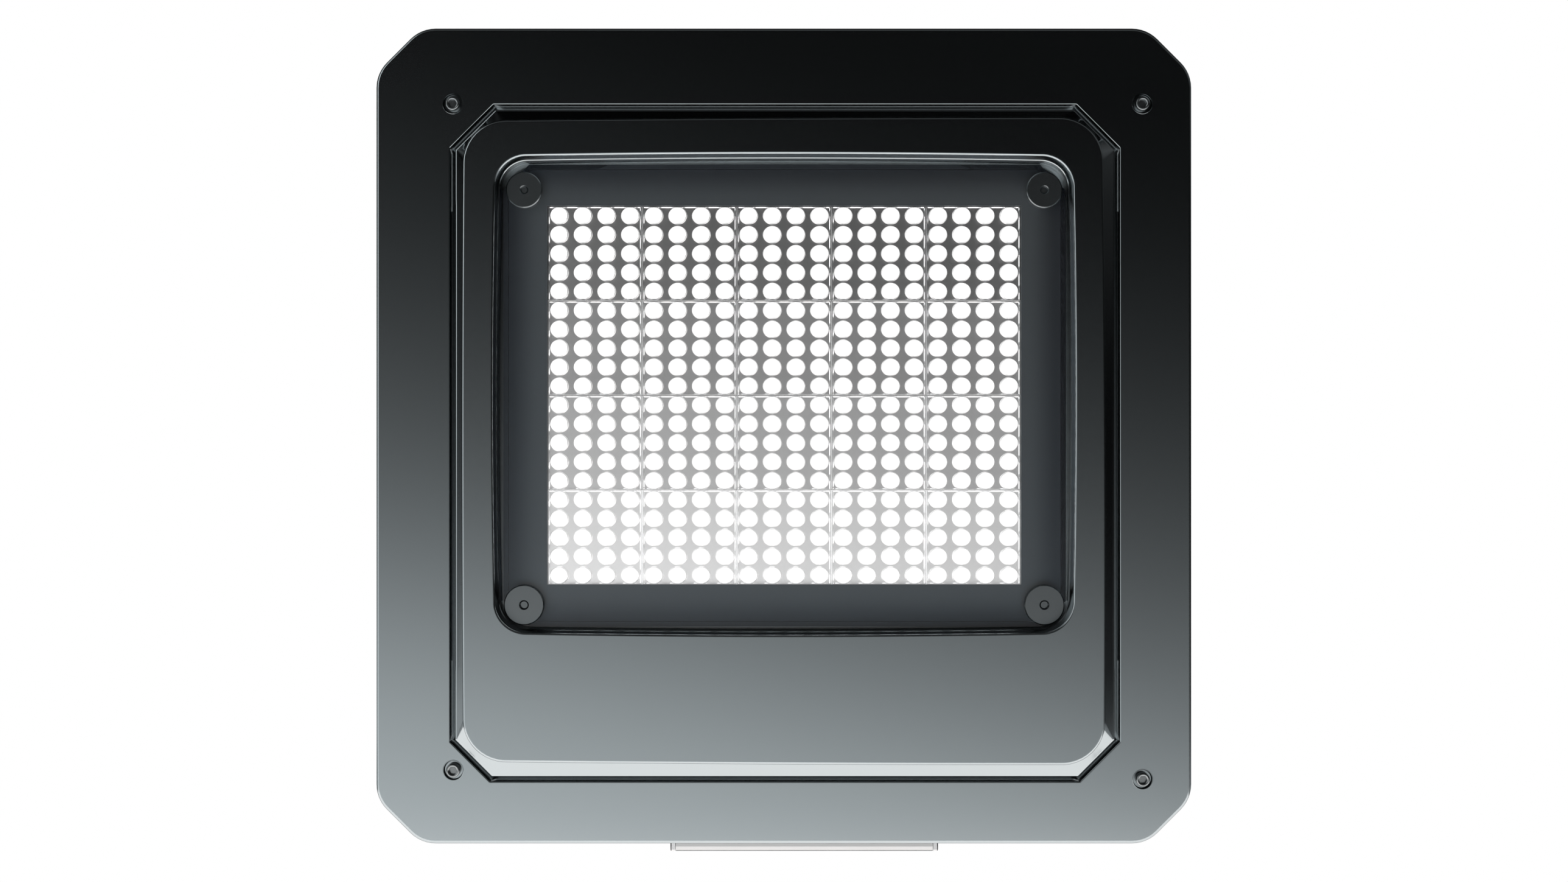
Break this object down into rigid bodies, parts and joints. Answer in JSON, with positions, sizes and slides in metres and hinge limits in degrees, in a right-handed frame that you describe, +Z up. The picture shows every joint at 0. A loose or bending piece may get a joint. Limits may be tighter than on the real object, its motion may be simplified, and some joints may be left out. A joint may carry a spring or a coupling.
{
  "type": "led canopy light",
  "caption": "Square recessed canopy light: chamfered trim plate hinged at its lower edge, housing with a finned heat sink, glazed window of lens blocks over LED boards, rear driver box.",
  "frame": {"origin": "centre of the four fixing holes in the mounting frame, on the canopy's surface", "axes": "+Y into the canopy (up in service), +Z up the face away from the hinge, +X to the right seen from the front"},
  "size_m": [0.5, 0.0795, 0.5054],
  "materials": {
    "board_white": "white circuit board",
    "clamp_paint": "satin",
    "driver_plastic": "moulded case",
    "frame_aluminium": "plain",
    "gland_plastic": "moulded nylon",
    "glass_seal_rubber": "matt silicone",
    "hinge_steel": "satin stainless",
    "housing_paint": "die cast, satin dark grey metallic paint",
    "lead_plastic": "insulated wire",
    "lens_clear": "clear moulded lens",
    "mask_plastic": "matt",
    "pad_rubber": "soft thermal pad",
    "plate_paint": "satin dark grey metallic paint",
    "screw_steel": "satin stainless",
    "seal_rubber": "matt",
    "white_plastic": "moulded",
    "window_glass": "clear toughened",
    "zinc_steel": "zinc-plated"
  },
  "bodies": {
    "frame": {"mounting_frame": "frame_aluminium", "hinge_brackets": "hinge_steel", "hinge_pin": "screw_steel"},
    "face": {"breather_vent": "gland_plastic", "cable_gland": "gland_plastic", "clamps_lower": "clamp_paint", "clamps_upper": "clamp_paint", "cover_gasket": "seal_rubber", "driver": "driver_plastic", "gear_cover": "zinc_steel", "gear_tray": "zinc_steel", "glass_gasket": "glass_seal_rubber", "heat_sink": "housing_paint", "hinge_leaf": "hinge_steel", "housing": "housing_paint", "leads": "lead_plastic", "led_board_1": "board_white", "led_board_2": "board_white", "led_board_3": "board_white", "led_board_4": "board_white", "lens_block_1_1": "lens_clear", "lens_block_1_2": "lens_clear", "lens_block_1_3": "lens_clear", "lens_block_1_4": "lens_clear", "lens_block_1_5": "lens_clear", "lens_block_2_1": "lens_clear", "lens_block_2_2": "lens_clear", "lens_block_2_3": "lens_clear", "lens_block_2_4": "lens_clear", "lens_block_2_5": "lens_clear", "lens_block_3_1": "lens_clear", "lens_block_3_2": "lens_clear", "lens_block_3_3": "lens_clear", "lens_block_3_4": "lens_clear", "lens_block_3_5": "lens_clear", "lens_block_4_1": "lens_clear", "lens_block_4_2": "lens_clear", "lens_block_4_3": "lens_clear", "lens_block_4_4": "lens_clear", "lens_block_4_5": "lens_clear", "optic_mask": "mask_plastic", "plate_gasket": "seal_rubber", "plate_screws": "screw_steel", "side_bracket_left": "zinc_steel", "side_bracket_right": "zinc_steel", "surge_protector": "white_plastic", "terminal_block": "white_plastic", "thermal_pad": "pad_rubber", "trim_plate": "plate_paint", "window_glass": "window_glass"}
  },
  "joints": [
    {"name": "face_hinge", "type": "hinge", "parent": "frame", "child": "face", "pos_m": [0, -0.0044, -0.252], "axis": [1, 0, 0], "range_deg": [0, 90]}
  ]
}
